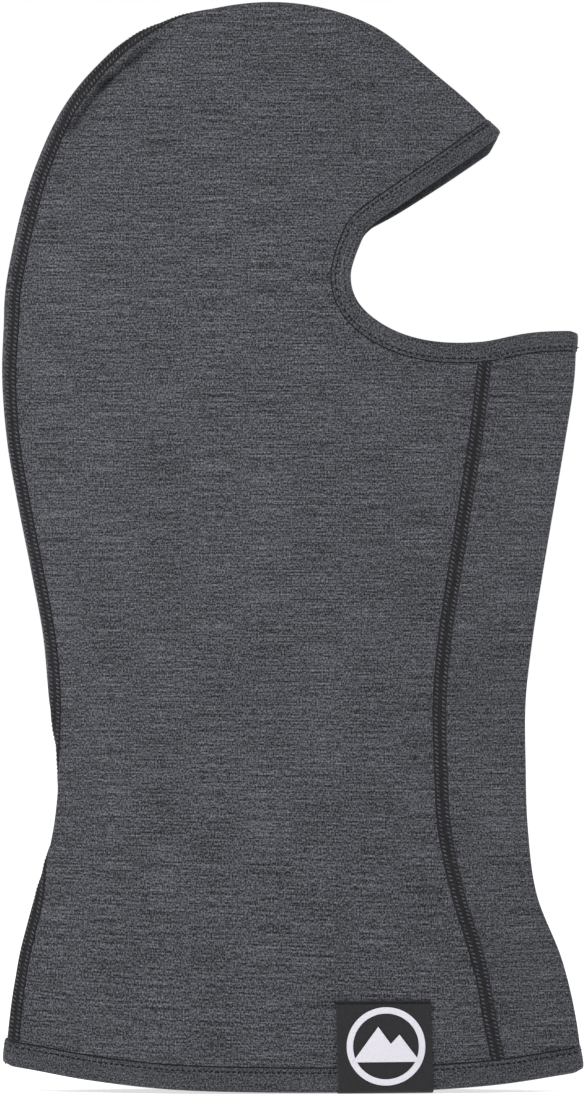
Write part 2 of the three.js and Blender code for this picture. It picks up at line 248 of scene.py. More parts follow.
class BalaclavaSizes(bpy.types.PropertyGroup):
    """Sizes of the hood, its bindings, seams and label."""

    neck_length: length_property("Neck length", "From the hem up to the middle of the head", 330)
    half_depth: length_property("Half depth", "From the middle of the head to its back fold", 122.5)
    half_width: FloatProperty(
        name="Half width", description="Half the width across the opened head",
        default=-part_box("right_side_panel")[0].y, unit="LENGTH",
    )
    fold_radius: length_property("Fold radius", "How tightly the cloth turns at its folds", 1.4)
    cloth: length_property("Cloth", "Thickness of a panel", 0.9)
    face_binding: length_property("Face binding", "Width of the binding round the face", 8)
    hem_binding: length_property("Hem binding", "Width of the band round the hem", 10)
    seam_width: length_property("Seam width", "Width of a flatlock seam", 5.8)
    seam_pitch: length_property("Seam pitch", "Distance between the stitches of a seam", 1.8)
    edge_pitch: length_property("Edge pitch", "Distance between the stitches of a binding", 2.4)
    label_width: length_property("Label width", "Width of the woven label", 40)
    label_height: length_property("Label height", "Height of the label above the hem", 38.6)
    label_x: length_property("Label place", "Middle of the label in front of the origin", 39.4)
    emblem_radius: length_property("Emblem radius", "Radius of the emblem's ring", 16.5)


class BalaclavaColours(bpy.types.PropertyGroup):
    """Colours of the cloth, thread and label."""

    jersey_light: colour_property("Light yarn", "Lighter fibres of the jersey", 154, 156, 165)
    jersey_dark: colour_property("Dark yarn", "Darker fibres of the jersey", 17, 18, 21)
    thread: colour_property("Seam thread", "Thread of the flatlock seams", 46, 45, 50)
    # Stitch is lighter than the seam thread: a painted highlight for the glints on the raised loops.
    stitch: colour_property("Stitch", "Raised loops of the seams", 98, 97, 102)
    label: colour_property("Label", "Ground weave of the label", 38, 38, 40)
    emblem: colour_property("Emblem", "Woven emblem on the label", 222, 219, 228)
    floor: colour_property("Floor", "Floor of the stage", 247, 247, 247)


class HoodSurface:
    """The surface of the opened hood."""

    def __init__(self, sizes):
        self.neck = sizes.neck_length
        self.depth = sizes.half_depth
        self.width = sizes.half_width
        self.radius = sizes.fold_radius

    def head_radius(self, angle):
        return smooth(HEAD, angle / math.pi) * self.depth

    def head_fold(self, angle):
        radius = self.head_radius(angle)
        return Vector((radius * math.cos(angle), self.neck + radius * math.sin(angle)))

    def back_fold(self, level):
        return Vector((smooth(BACK, level) * self.depth, level * self.neck))

    def front_fold(self, level):
        return Vector((smooth(FRONT, level) * self.depth, level * self.neck))

    def front_seam(self, level):
        return Vector((smooth(SEAM, level) * self.depth, level * self.neck))

    def hem_edge(self, share, side=RIGHT):
        point = smooth(HEM_EDGE, share)
        return Vector((point.x * self.depth, point.y * MM))

    def face_edge(self, share, side=RIGHT):
        """Edge of the face opening. On the left it hangs lower below the brow."""
        point = smooth(FACE_EDGE, share) * self.depth + Vector((0, self.neck))
        if side == LEFT:
            start = self.brow_share()
            down = (share - start) / (BROW_DROP_END - start)
            fade = max(1 - down, 0) ** 0.8 * smoothstep(down / BROW_DROP_START)
            point.y -= BROW_DROP * fade
        return point

    def brow_share(self):
        """Share of the face edge at which it crosses the front fold at the brow."""
        return self.crossing(self.face_edge, 0.05, 0.12)

    def chin_share(self):
        return self.crossing(self.face_edge, 0.97, 0.85)

    def crossing(self, edge, outside, inside):
        """Share at which an edge crosses the outline, between a share outside and one inside."""
        for _ in range(24):
            middle = (outside + inside) / 2
            if self.inset(edge(middle))[0] < 0:
                outside = middle
            else:
                inside = middle
        return inside

    def inset(self, place):
        """How far inside the outline a place is, the outline's distance, and the half width."""
        x, z = place
        if z > self.neck:
            radius = self.head_radius(math.atan2(z - self.neck, x))
            out = math.hypot(x, z - self.neck) / radius
            return (1 - out) * radius, radius, self.width * (1 - out * out)
        level = z / self.neck
        back, front = smooth(BACK, level) * self.depth, smooth(FRONT, level) * self.depth
        reach = (front - back) / 2
        out = abs(x - (front + back) / 2) / reach
        return (1 - out) * reach, reach, self.width * smooth(WIDTH, level) * (1 - out * out)

    def swell(self, place):
        """Square of the half width, with rounded folds. It is negative beyond the outline."""
        inset, _, half = self.inset(place)
        return half * abs(half) + 2 * self.radius * inset * math.exp(-abs(inset) / FOLD_FADE)

    def folded_over(self, place, side):
        """A place beyond the outline lies on the other side, as far inside the fold."""
        inset, radius, _ = self.inset(place)
        if inset >= 0:
            return place, side, inset
        shrink = (radius + inset) / (radius - inset)
        if place.y > self.neck:
            middle = Vector((0, self.neck))
        else:
            level = place.y / self.neck
            middle = Vector(((smooth(BACK, level) + smooth(FRONT, level)) / 2 * self.depth, place.y))
        return middle + (place - middle) * shrink, -side, -inset

    def normal(self, place, y):
        step = 0.1 * MM
        across = self.swell(place + Vector((step, 0))) - self.swell(place - Vector((step, 0)))
        up = self.swell(place + Vector((0, step))) - self.swell(place - Vector((0, step)))
        return Vector((-across, 4 * step * y, -up)).normalized()

    def point(self, place, side, lift=0.0):
        """The point of the surface at a place, lifted off it by `lift`."""
        place, side, inset = self.folded_over(place, side)
        half = math.sqrt(max(self.swell(place), 0))
        rest = relief(place, side) * smoothstep(inset / (4 * MM))
        point = Vector((place.x, side * (half + rest), place.y))
        if lift:
            point += self.normal(place, side * half) * lift
        return point

    def inset_of(self, round_fold):
        """How far inside the outline the cloth is after going `round_fold` round a fold."""
        tip = math.cos(FOLD_TILT) * self.radius
        return math.cos(FOLD_TILT) * (math.hypot(round_fold, tip) - tip)

    def round_of(self, inset):
        """The other way: how far round a fold the cloth goes to reach an inset."""
        tip = math.cos(FOLD_TILT) * self.radius
        return math.sqrt((inset / math.cos(FOLD_TILT) + tip) ** 2 - tip**2)

    def seam_side(self, place):
        """How far round the fold the back seam lies beside a place on the fold."""
        if place.y > self.neck:
            return smooth(HEAD_SEAM_SIDE, math.atan2(place.y - self.neck, place.x) / math.pi) * MM
        return smooth(NECK_SEAM_SIDE, place.y / self.neck) * MM


def bump_along(place, crease):
    """How much of a crease shows at a place: all of it on its line, fading past its sides."""
    x0, z0, x1, z1, half_width, height = (value * MM for value in crease)
    start = Vector((x0, z0))
    along = Vector((x1, z1)) - start
    share = (place - start).dot(along) / along.length_squared
    if not -0.6 < share < 1.6:
        return 0.0
    nearest = start + along * share
    past_end = max(-share, share - 1, 0) * 3
    return height * math.exp(-((place - nearest).length / half_width) ** 2 - past_end * past_end)


def relief(place, side):
    """How far the cloth stands out from the plain surface, in long swells and small creases."""
    height = 0.0
    for along, up, phase, size in SWELLS:
        height += size * MM * math.sin(2 * math.pi * (along * place.x + up * place.y) + phase + side)
    if side == RIGHT:
        height += sum(bump_along(place, crease) for crease in CREASES)
    else:
        height += sum(bump_along(place, crease) for crease in CREASES[CROWN_CREASES:]) * 0.7
    return height


class Station:
    """A spot on a seam or an edge: its place, the way across it in side view, and its side.

    A station on the back fold measures across it to the left, round the fold.
    """

    def __init__(self, surface, place, across, side=None):
        self.surface = surface
        self.place = place
        self.across = across
        self.side = side

    def point(self, across, lift=0.0):
        if self.side is not None:
            return self.surface.point(self.place + self.across * across, self.side, lift)
        side = LEFT if across > 0 else RIGHT
        inset = self.surface.inset_of(abs(across))
        return self.surface.point(self.place + self.across * inset, side, lift)


def evenly(curve, start, end, pitch):
    """Shares of a curve from start to end that lie one pitch apart."""
    steps = 600
    shares = [lerp(start, end, i / steps) for i in range(steps + 1)]
    places = [curve(share) for share in shares]
    travelled = [0.0]
    for near, far in zip(places, places[1:]):
        travelled.append(travelled[-1] + (far - near).length)
    count = max(2, round(travelled[-1] / pitch))
    found = []
    i = 0
    for k in range(count + 1):
        wanted = travelled[-1] * k / count
        while i < steps - 1 and travelled[i + 1] < wanted:
            i += 1
        part = (wanted - travelled[i]) / max(travelled[i + 1] - travelled[i], 1e-12)
        found.append(lerp(shares[i], shares[i + 1], part))
    return found


def turned(direction):
    """A side-view direction turned a quarter, clockwise as the right side is seen."""
    return Vector((direction.y, -direction.x)).normalized()


def tangent(curve, share):
    step = 1e-4
    return (curve(share + step) - curve(share - step)).normalized()


def along_fold(surface, place, hint):
    """The way along the fold at a place on the outline, on the same side as a hint."""
    step = 0.2 * MM
    slope_x = surface.inset(place + Vector((step, 0)))[0] - surface.inset(place - Vector((step, 0)))[0]
    slope_z = surface.inset(place + Vector((0, step)))[0] - surface.inset(place - Vector((0, step)))[0]
    way = turned(Vector((slope_x, slope_z)))
    return way if way.dot(hint) > 0 else -way


def edge_stations(surface, edge, start, end, pitch, tuck):
    """Stations once round an edge: along its right side, over a fold, and back along the left.

    Near a fold they turn to run along it, and are tucked in so that the corner is round.
    """
    stations = []
    for side in (RIGHT, LEFT):
        def curve(share, side=side):
            return edge(share, side)

        ends = (start, end) if side == RIGHT else (end, start)
        corners = [curve(share) for share in ends]
        for share in evenly(curve, *ends, pitch)[:-1]:
            place = curve(share)
            inward = turned(tangent(curve, share))
            corner = min(corners, key=lambda c: (c - place).length)
            near = math.exp(-(((corner - place).length / CORNER_REACH) ** 2))
            inward = inward.lerp(along_fold(surface, corner, inward), near).normalized()
            round_off = tuck * math.exp(-(((corner - place).length / (2 * tuck)) ** 2))
            stations.append(Station(surface, place + inward * round_off, inward, side))
    return stations


def face_stations(surface, pitch):
    ends = surface.brow_share(), surface.chin_share()
    return edge_stations(surface, surface.face_edge, *ends, pitch, FACE_TUCK)


def hem_stations(surface, pitch):
    front = surface.crossing(surface.hem_edge, 0.02, 0.2)
    back = surface.crossing(surface.hem_edge, 0.98, 0.8)
    return edge_stations(surface, surface.hem_edge, front, back, pitch, HEM_TUCK)


def back_seam_line(surface, share):
    """The fold from the brow over the crown and down the back to the hem."""
    top = HEAD_PART_OF_SEAM
    if share < top:
        return surface.head_fold(lerp(SEAM_BROW_ANGLE, math.pi, share / top))
    return surface.back_fold(lerp(1, BACK_SEAM_FOOT, (share - top) / (1 - top)))


def back_seam_stations(surface, pitch):
    def curve(share):
        return back_seam_line(surface, share)

    stations = []
    for share in evenly(curve, 0.0, 1.0, pitch):
        along = tangent(curve, min(max(share, 0.001), 0.999))
        stations.append(Station(surface, curve(share), -turned(along)))
    return stations


def front_seam_stations(surface, side, pitch):
    stations = []
    for level in evenly(surface.front_seam, *FRONT_SEAM_ENDS, pitch):
        across = turned(tangent(surface.front_seam, level))
        stations.append(Station(surface, surface.front_seam(level), across, side))
    return stations


def select_only(piece):
    bpy.ops.object.select_all(action="DESELECT")
    piece.select_set(True)
    bpy.context.view_layer.objects.active = piece


def finish_piece(piece, materials, slot, *nodes):
    """Gives a piece its materials, and says what it rides on and what it replaces. Its slot is not used."""
    piece.data.materials.clear()
    for material in materials:
        piece.data.materials.append(material)
    select_only(piece)
    bpy.ops.object.shade_smooth_by_angle(angle=math.radians(60))
    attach(piece, "root")
    if nodes:
        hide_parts(*nodes)
    return piece


def mesh_from_rows(name, rows, flat_rows, ring=False, loop=False):
    """A mesh of quads through rows of points, with a cloth map in metres from flat_rows.

    A ring joins each row's last point to its first, and a loop joins the last row to the first.
    """
    mesh = bpy.data.meshes.new(name)
    shape = bmesh.new()
    cloth_map = shape.loops.layers.uv.new("cloth")
    vertices = [[shape.verts.new(point) for point in row] for row in rows]
    row_count, column_count = len(rows), len(rows[0])
    for i in range(row_count if loop else row_count - 1):
        for j in range(column_count if ring else column_count - 1):
            corners = [(i, j), (i, j + 1), (i + 1, j + 1), (i + 1, j)]
            face = shape.faces.new([vertices[a % row_count][b % column_count] for a, b in corners])
            for corner, (a, b) in zip(face.loops, corners):
                corner[cloth_map].uv = flat_rows[a][b]
    if ring and not loop:
        shape.faces.new(vertices[0])
        shape.faces.new(reversed(vertices[-1]))
    if ring:
        bmesh.ops.recalc_face_normals(shape, faces=shape.faces[:])
    shape.to_mesh(mesh)
    shape.free()
    piece = bpy.data.objects.new(name, mesh)
    bpy.context.collection.objects.link(piece)
    return piece


def thicken(piece, thickness):
    """Gives an open sheet its thickness, inwards from the face that shows."""
    select_only(piece)
    solidify = piece.modifiers.new("thickness", "SOLIDIFY")
    solidify.thickness = thickness
    solidify.offset = -1
    # The inner faces take the second material; on the panels that is the inner jersey, darkened as painted
    # shade.
    solidify.material_offset = 1
    bpy.ops.object.modifier_apply(modifier=solidify.name)


def face_outwards(piece):
    """Turns a sheet over if its faces point into the hood."""
    shape = bmesh.new()
    shape.from_mesh(piece.data)
    outwards = sum(face.normal.y * face.calc_center_median().y for face in shape.faces)
    if outwards < 0:
        bmesh.ops.reverse_faces(shape, faces=shape.faces[:])
    shape.to_mesh(piece.data)
    shape.free()


def height_of(edge, x, front, back):
    """Height of an edge at a distance in front of the origin, between two shares of it."""
    for _ in range(20):
        middle = (front + back) / 2
        if edge(middle).x > x:
            front = middle
        else:
            back = middle
    return edge(front).y


def hem_height(surface, x):
    return height_of(surface.hem_edge, x, 0.0, 1.0)


def chin_height(surface, x):
    return height_of(surface.face_edge, x, 1.0, CHEEK)


def side_courses(surface, side):
    """Ends of the rows of a side panel: on the back fold, and at the face edge or front seam."""
    def edge(share):
        inward = turned(tangent(lambda s: surface.face_edge(s, side), share))
        return surface.face_edge(share, side) + inward * RAW_EDGE

    brow_start = surface.brow_share() + 0.006
    courses = []
    for i in range(CROWN_ROWS):
        share = i / CROWN_ROWS
        fold = surface.head_fold(lerp(PANEL_BROW_ANGLE, math.pi, share))
        courses.append((fold, edge(lerp(brow_start, CHEEK, share)), 0.0))
    for i in range(JAW_ROWS):
        share = i / JAW_ROWS
        fold = surface.back_fold(lerp(1, JAW_LEVEL, share))
        courses.append((fold, edge(lerp(CHEEK, CHIN_SEAM, share)), 0.0))
    top = edge(CHIN_SEAM).y / surface.neck
    back_foot = (surface.hem_edge(0.86).y + RAW_EDGE) / surface.neck
    front_foot = (surface.hem_edge(0.24).y + RAW_EDGE) / surface.neck
    for i in range(NECK_ROWS + 1):
        share = i / NECK_ROWS
        fold = surface.back_fold(lerp(JAW_LEVEL, back_foot, share))
        courses.append((fold, surface.front_seam(lerp(top, front_foot, share)), share))
    return courses


def side_columns(start, end):
    """Distances round the fold of a row's points, close together beside the fold."""
    reach = min(FOLD_REACH, end)
    beside = [lerp(start, reach, i / FOLD_COLUMNS) for i in range(FOLD_COLUMNS)]
    return beside + [lerp(reach, end, i / SIDE_COLUMNS) for i in range(SIDE_COLUMNS + 1)]


def side_panel(surface, side, thickness):
    rows, flat_rows = [], []
    for fold, far, hem_share in side_courses(surface, side):
        way = (far - fold).normalized()
        end = surface.round_of((far - fold).length)
        start = surface.seam_side(fold) * side
        row, flat_row = [], []
        for travelled in side_columns(start, end):
            inset = surface.inset_of(abs(travelled))
            place = fold + way * inset
            if hem_share:
                chord = fold.y + way.y * inset
                foot = lerp(0, hem_height(surface, place.x) + RAW_EDGE - chord, hem_share**8)
                place.y += foot
            row.append(surface.point(place, side if travelled > 0 else -side))
            flat_row.append(fold + way * math.copysign(inset, travelled))
        rows.append(row)
        flat_rows.append(flat_row)
    name = "knit_side_right" if side == RIGHT else "knit_side_left"
    piece = mesh_from_rows(name, rows, flat_rows)
    face_outwards(piece)
    thicken(piece, thickness)
    return piece


def front_neck_place(surface, up, across):
    """A place on the front neck panel, `up` from hem to chin and `across` from fold to seam."""
    level = lerp(0.02, 0.97, up)
    for _ in range(3):
        fold, seam = surface.front_fold(level), surface.front_seam(level)
        x = lerp(fold.x, seam.x, across)
        low, high = hem_height(surface, x) + RAW_EDGE, chin_height(surface, x) - RAW_EDGE
        level = lerp(low, high, up) / surface.neck
    return Vector((x, level * surface.neck)), fold.x - x


def front_neck_panel(surface, thickness):
    """The panel folded at the front, from the right front seam to the left one."""
    rows, flat_rows = [], []
    for i in range(FRONT_ROWS + 1):
        row, flat_row = [], []
        for j in range(FRONT_COLUMNS + 1):
            across = 2 * j / FRONT_COLUMNS - 1
            side = RIGHT if across < 0 else LEFT
            place, inset = front_neck_place(surface, i / FRONT_ROWS, abs(across) ** 1.6)
            row.append(surface.point(place, side))
            flat_row.append(Vector((math.copysign(inset, across), place.y)))
        rows.append(row)
        flat_rows.append(flat_row)
    piece = mesh_from_rows("knit_front_neck", rows, flat_rows)
    face_outwards(piece)
    thicken(piece, thickness)
    return piece


def sweep(name, stations, section, loop, around=0.0):
    """A closed section carried along stations. `around` moves it across, for the back seam."""
    rows, flat_rows = [], []
    travelled = 0.0
    last = None
    girth = [0.0]
    for near, far in zip(section, section[1:]):
        girth.append(girth[-1] + (Vector(far) - Vector(near)).length)
    girth.append(girth[-1] + (Vector(section[0]) - Vector(section[-1])).length)
    for station in [*stations, stations[0]] if loop else stations:
        centre = around(station) if around else 0.0
        middle = station.point(centre)
        travelled += (middle - last).length if last else 0.0
        last = middle
        rows.append([station.point(across + centre, lift) for across, lift in section])
        flat_rows.append([Vector((travelled, along)) for along in girth])
    if loop:
        rows.pop()
    return mesh_from_rows(name, rows, flat_rows, ring=True, loop=loop)


def mark_inner(strip, section):
    """Gives the faces of a strip that lie inside the hood its second material, the inner jersey darkened as
    painted shade.
    """
    limit = -0.3 * MM
    lifts = [lift for _, lift in section]
    inner = [max(pair) < limit for pair in zip(lifts, lifts[1:] + lifts[:1])]
    for i, face in enumerate(strip.data.polygons):
        face.material_index = int(inner[i % len(inner)])


def section_of(table, half_width):
    return [(across * half_width, lift * MM) for across, lift in table]


def stitch(name, length, width, height):
    """One low rounded stitch, lying along X."""
    bpy.ops.object.select_all(action="DESELECT")
    bpy.ops.mesh.primitive_uv_sphere_add(segments=6, ring_count=4, radius=0.5)
    piece = bpy.context.object
    piece.name = name
    bpy.ops.object.mode_set(mode="EDIT")
    bpy.ops.mesh.select_all(action="SELECT")
    centre = (0, 0, 0)
    bpy.ops.transform.rotate(value=math.pi / 2, orient_axis="Y", center_override=centre)
    bpy.ops.transform.resize(value=(length, width, height), center_override=centre)
    bpy.ops.object.mode_set(mode="OBJECT")
    return piece


def seat(station, ahead, across, lift, slant):
    """Where a stitch sits: its X axis lies along the stations, turned by a slant."""
    origin = station.point(across, lift)
    up = (station.point(across, lift + MM) - origin).normalized()
    along = (ahead.point(across, lift) - origin).normalized()
    left = up.cross(along).normalized()
    along = left.cross(up)
    turn = Matrix.Rotation(slant, 3, up)
    axes = Matrix((turn @ along, turn @ left, up)).transposed()
    return Matrix.Translation(origin) @ axes.to_4x4()


def copies_joined(original, places, name):
    """One piece made of a copy of the original at each place. The original is removed."""
    copies = []
    for place in places:
        copy = original.copy()
        copy.data = original.data.copy()
        copy.data.transform(place)
        bpy.context.collection.objects.link(copy)
        copies.append(copy)
    bpy.data.objects.remove(original)
    bpy.ops.object.select_all(action="DESELECT")
    for copy in copies:
        copy.select_set(True)
    bpy.context.view_layer.objects.active = copies[0]
    bpy.ops.object.join()
    copies[0].name = name
    copies[0].data.name = name
    return copies[0]


def loops_of_seam(stations, half_width, around=None):
    """Places of the two columns of slanting loops of a flatlock seam, on both of its faces."""
    places = []
    for station, ahead in zip(stations, stations[1:]):
        centre = around(station) if around else 0.0
        for column in (-0.5, 0.5):
            for lift in (0.42 * MM, -1.4 * MM):
                across = centre + column * half_width * 1.1
                places.append(seat(station, ahead, across, lift, LOOP_SLANT))
    return places


def dashes_of_edge(stations, across, lifts):
    places = []
    for station, ahead in zip(stations, stations[1:] + stations[:1]):
        for lift in lifts:
            places.append(seat(station, ahead, across, lift, 0.0))
    return places


def node(tree, kind, links=None, **values):
    """A node with its values set. A value is an attribute of the node or one of its inputs."""
    made = tree.nodes.new(kind)
    for name, value in values.items():
        title = name.replace("_", " ").title().replace("Ior", "IOR")
        if title in made.inputs:
            made.inputs[title].default_value = value
        else:
            setattr(made, name, value)
    for name, source in (links or {}).items():
        tree.links.new(source, made.inputs[name])
    return made


def new_group(name, inputs):
    """A shader group with a vector and more inputs, which puts out a mask and a height."""
    tree = bpy.data.node_groups.new(name, "ShaderNodeTree")
    tree.interface.new_socket("Vector", in_out="INPUT", socket_type="NodeSocketVector")
    for title, default in inputs.items():
        socket = tree.interface.new_socket(title, in_out="INPUT", socket_type="NodeSocketFloat")
        socket.default_value = default
    for title in ("Mask", "Height"):
        tree.interface.new_socket(title, in_out="OUTPUT", socket_type="NodeSocketFloat")
    return tree, tree.nodes.new("NodeGroupInput"), tree.nodes.new("NodeGroupOutput")


def stretched_noise(tree, vector, per_metre, detail):
    """Noise with its own number of grains per metre along and across the yarn."""
    mapping = node(tree, "ShaderNodeMapping", {"Vector": vector})
    mapping.inputs["Scale"].default_value = (*per_metre, 1)
    return node(
        tree, "ShaderNodeTexNoise", {"Vector": mapping.outputs["Vector"]},
        noise_dimensions="2D", scale=1.0, detail=detail, roughness=0.6,
    ).outputs["Fac"]


def arithmetic(tree, operation, first, second):
    made = tree.nodes.new("ShaderNodeMath")
    made.operation = operation
    for socket, value in zip(made.inputs, (first, second)):
        if isinstance(value, (int, float)):
            socket.default_value = value
        else:
            tree.links.new(value, socket)
    return made.outputs[0]


def melange_group():
    """Knitted melange yarn: long and short streaks along the courses, and speckled fibres."""
    tree, given, made = new_group("melange knit", {"Contrast": 1.0, "Streaks": 1.0})
    vector = given.outputs["Vector"]
    total = 0.0
    for per_metre, detail, weight in (((45, 1500), 0, 0.22), ((280, 1500), 0, 0.2)):
        streaks = arithmetic(tree, "SUBTRACT", stretched_noise(tree, vector, per_metre, detail), 0.5)
        share = arithmetic(tree, "MULTIPLY", given.outputs["Streaks"], weight)
        total = arithmetic(tree, "ADD", total, arithmetic(tree, "MULTIPLY", streaks, share))
    for per_metre, detail, weight in (((1450, 1300), 1, 0.8), ((26, 40), 2, 0.06)):
        grains = arithmetic(tree, "SUBTRACT", stretched_noise(tree, vector, per_metre, detail), 0.5)
        total = arithmetic(tree, "ADD", total, arithmetic(tree, "MULTIPLY", grains, weight))
    spread = arithmetic(tree, "MULTIPLY", total, given.outputs["Contrast"])
    mask = node(tree, "ShaderNodeMapRange", {"Value": spread})
    mask.inputs["From Min"].default_value = -0.2
    mask.inputs["From Max"].default_value = 0.65
    bright_flecks = arithmetic(tree, "POWER", mask.outputs["Result"], 1.4)
    tree.links.new(bright_flecks, made.inputs["Mask"])
    tree.links.new(mask.outputs["Result"], made.inputs["Height"])
    return tree


def thread_group():
    """Spun thread: loops that differ in brightness, and fine fibres."""
    tree, given, made = new_group("spun thread", {"Fibre": 2600.0})
    vector = given.outputs["Vector"]
    loops = node(tree, "ShaderNodeTexNoise", {"Vector": vector}, scale=700.0, detail=1.0)
    fibres = node(tree, "ShaderNodeTexNoise", {"Vector": vector, "Scale": given.outputs["Fibre"]}, detail=2.0)
    mixed = arithmetic(tree, "ADD", loops.outputs["Fac"], fibres.outputs["Fac"])
    mask = node(tree, "ShaderNodeMapRange", {"Value": mixed})
    mask.inputs["From Min"].default_value = 0.7
    mask.inputs["From Max"].default_value = 1.3
    tree.links.new(mask.outputs["Result"], made.inputs["Mask"])
    tree.links.new(fibres.outputs["Fac"], made.inputs["Height"])
    return tree


def weave_group():
    """Ribbon weave: fine warp lines crossed by a twill, with a little unevenness."""
    tree, given, made = new_group("ribbon weave", {"Ribs": 1500.0})
    vector = given.outputs["Vector"]
    ribs = given.outputs["Ribs"]
    warp = node(tree, "ShaderNodeTexWave", {"Vector": vector, "Scale": ribs}, bands_direction="X")
    twill = node(tree, "ShaderNodeTexWave", {"Vector": vector, "Scale": ribs}, bands_direction="DIAGONAL")
    uneven = node(tree, "ShaderNodeTexNoise", {"Vector": vector, "Scale": ribs}, detail=2.0)
    lines = arithmetic(tree, "MULTIPLY", warp.outputs["Fac"], twill.outputs["Fac"])
    mixed = arithmetic(tree, "ADD", arithmetic(tree, "MULTIPLY", lines, 0.5), uneven.outputs["Fac"])
    mask = node(tree, "ShaderNodeMapRange", {"Value": mixed})
    mask.inputs["From Min"].default_value = 0.3
    mask.inputs["From Max"].default_value = 1.0
    tree.links.new(mask.outputs["Result"], made.inputs["Mask"])
    tree.links.new(lines, made.inputs["Height"])
    return tree


def group_named(name, build):
    return bpy.data.node_groups.get(name) or build()


def patterned_material(name, group, coordinates, dark, light, bump, roughness, sheen, **values):
    """A soft material whose colour goes from dark to light with a pattern group's mask."""
    found = bpy.data.materials.get(name)
    if found:
        return found
    material = bpy.data.materials.new(name)
    material.use_nodes = True
    tree = material.node_tree
    tree.nodes.clear()
    if coordinates == "UV":
        source = node(tree, "ShaderNodeUVMap", uv_map="cloth").outputs["UV"]
    else:
        source = node(tree, "ShaderNodeTexCoord").outputs["Object"]
    pattern = node(tree, "ShaderNodeGroup", node_tree=group)
    tree.links.new(source, pattern.inputs["Vector"])
    for title, value in values.items():
        pattern.inputs[title.title()].default_value = value
    tones = {"color1": (*dark, 1), "color2": (*light, 1)}
    blend = node(tree, "ShaderNodeMixRGB", {"Fac": pattern.outputs["Mask"]}, **tones)
    bumps = node(tree, "ShaderNodeBump", {"Height": pattern.outputs["Height"]}, distance=bump, strength=1.0)
    shader = node(
        tree, "ShaderNodeBsdfPrincipled",
        {"Base Color": blend.outputs["Color"], "Normal": bumps.outputs["Normal"]},
        roughness=roughness, sheen_weight=sheen, specular_ior_level=0.2,
    )
    node(tree, "ShaderNodeOutputMaterial", {"Surface": shader.outputs["BSDF"]})
    return material


def darker(colour, share):
    return [value * share for value in colour]


def jersey_material(colours):
    group = group_named("melange knit", melange_group)
    return patterned_material(
        "charcoal jersey", group, "UV", colours.jersey_dark, colours.jersey_light, 0.25 * MM, 0.95, 0.1,
    )


def binding_material(colours):
    group = group_named("melange knit", melange_group)
    dark, light = darker(colours.jersey_dark, 0.9), darker(colours.jersey_light, 0.9)
    return patterned_material(
        "binding jersey", group, "UV", dark, light, 0.25 * MM, 0.95, 0.1, contrast=1.0, streaks=0.6,
    )


def shaded_inner_material(colours):
    """The inner face of the jersey: a plainer pattern, and darker all over, which is painted shade for the
    shade inside the hood.
    """
    group = group_named("melange knit", melange_group)
    dark, light = darker(colours.jersey_dark, 0.75), darker(colours.jersey_light, 0.75)
    return patterned_material(
        "inner jersey with painted shade", group, "UV", dark, light, 0.25 * MM, 0.95, 0.05, contrast=0.6, streaks=0.5,
    )


def seam_material(colours):
    group = group_named("spun thread", thread_group)
    dark, light = darker(colours.thread, 0.2), darker(colours.thread, 0.6)
    return patterned_material("flatlock thread", group, "Object", dark, light, 0.2 * MM, 0.85, 0.05)


def loop_thread_and_glint_material(colours):
    group = group_named("spun thread", thread_group)
    # From the thread's own dark colour to the lighter stitch colour, which is painted highlight on the loops.
    dark = darker(colours.thread, 0.8)
    return patterned_material("flatlock loops with painted glint", group, "Object", dark, colours.stitch, 0.1 * MM, 0.7, 0.05)


def thread_and_edge_shadow_material(colours):
    # Dark thread of the binding and label stitches, also used for the painted shadow strip beside each
    # binding's free edge.
    group = group_named("spun thread", thread_group)
    dark, light = darker(colours.thread, 0.1), darker(colours.thread, 0.35)
    return patterned_material("binding thread and edge shadow", group, "Object", dark, light, 0.1 * MM, 0.9, 0.0)


def label_material(colours):
    group = group_named("ribbon weave", weave_group)
    dark, light = darker(colours.label, 0.7), darker(colours.label, 1.1)
    return patterned_material("label weave", group, "UV", dark, light, 0.1 * MM, 0.8, 0.1, ribs=650.0)


def emblem_material(colours):
    group = group_named("ribbon weave", weave_group)
    dark = darker(colours.emblem, 0.86)
    return patterned_material("emblem weave", group, "Object", dark, colours.emblem, 0.08 * MM, 0.6, 0.1)


def label_lift(height):
    """The label lies over the hem band, and comes down on to the cloth above it."""
    return lerp(1.3, 0.75, smoothstep((height - 9 * MM) / (14 * MM))) * MM


def label_stations(surface, sizes):
    """Stations across the label from its back edge to its front one. Across is upwards."""
    lean = Vector((-0.025, 1)).normalized()
    half = sizes.label_width / 2
    count = 28
    spots = [lerp(-half, half, i / count) for i in range(count + 1)]
    return [Station(surface, Vector((sizes.label_x + spot, 0)), lean, RIGHT) for spot in spots]


def label_section(sizes):
    """The label's section, from its top edge down, round the hem and a little way up inside."""
    thickness = 0.5 * MM
    heights = [lerp(sizes.label_height, 0.9 * MM, i / 18) for i in range(19)]
    outer = [(height, label_lift(height) + thickness) for height in heights]
    inner = [(height, label_lift(height)) for height in reversed(heights)]
    under = [(0, 1.2), (-0.4, 0.3), (-0.5, -0.6), (-0.4, -1.6), (0, -2.7), (0.8, -3.1), (6, -3.1), (12, -3.0)]
    back = [(12, -2.55), (6, -2.6), (1.2, -2.6), (0.4, -2.3), (0.1, -1.5), (0, -0.6), (0.05, 0.2), (0.4, 0.7)]
    turn = [(height * MM, lift * MM) for height, lift in under + back]
    return outer + turn + inner


def on_label(surface, sizes, piece, lift):
    """Lays a flat piece, drawn in X and Y round the origin, on the middle of the label."""
    middle = Vector((sizes.label_x, sizes.label_height / 2))
    for vertex in piece.data.vertices:
        place = middle + vertex.co.xy
        vertex.co = surface.point(place, RIGHT, label_lift(place.y) + lift)


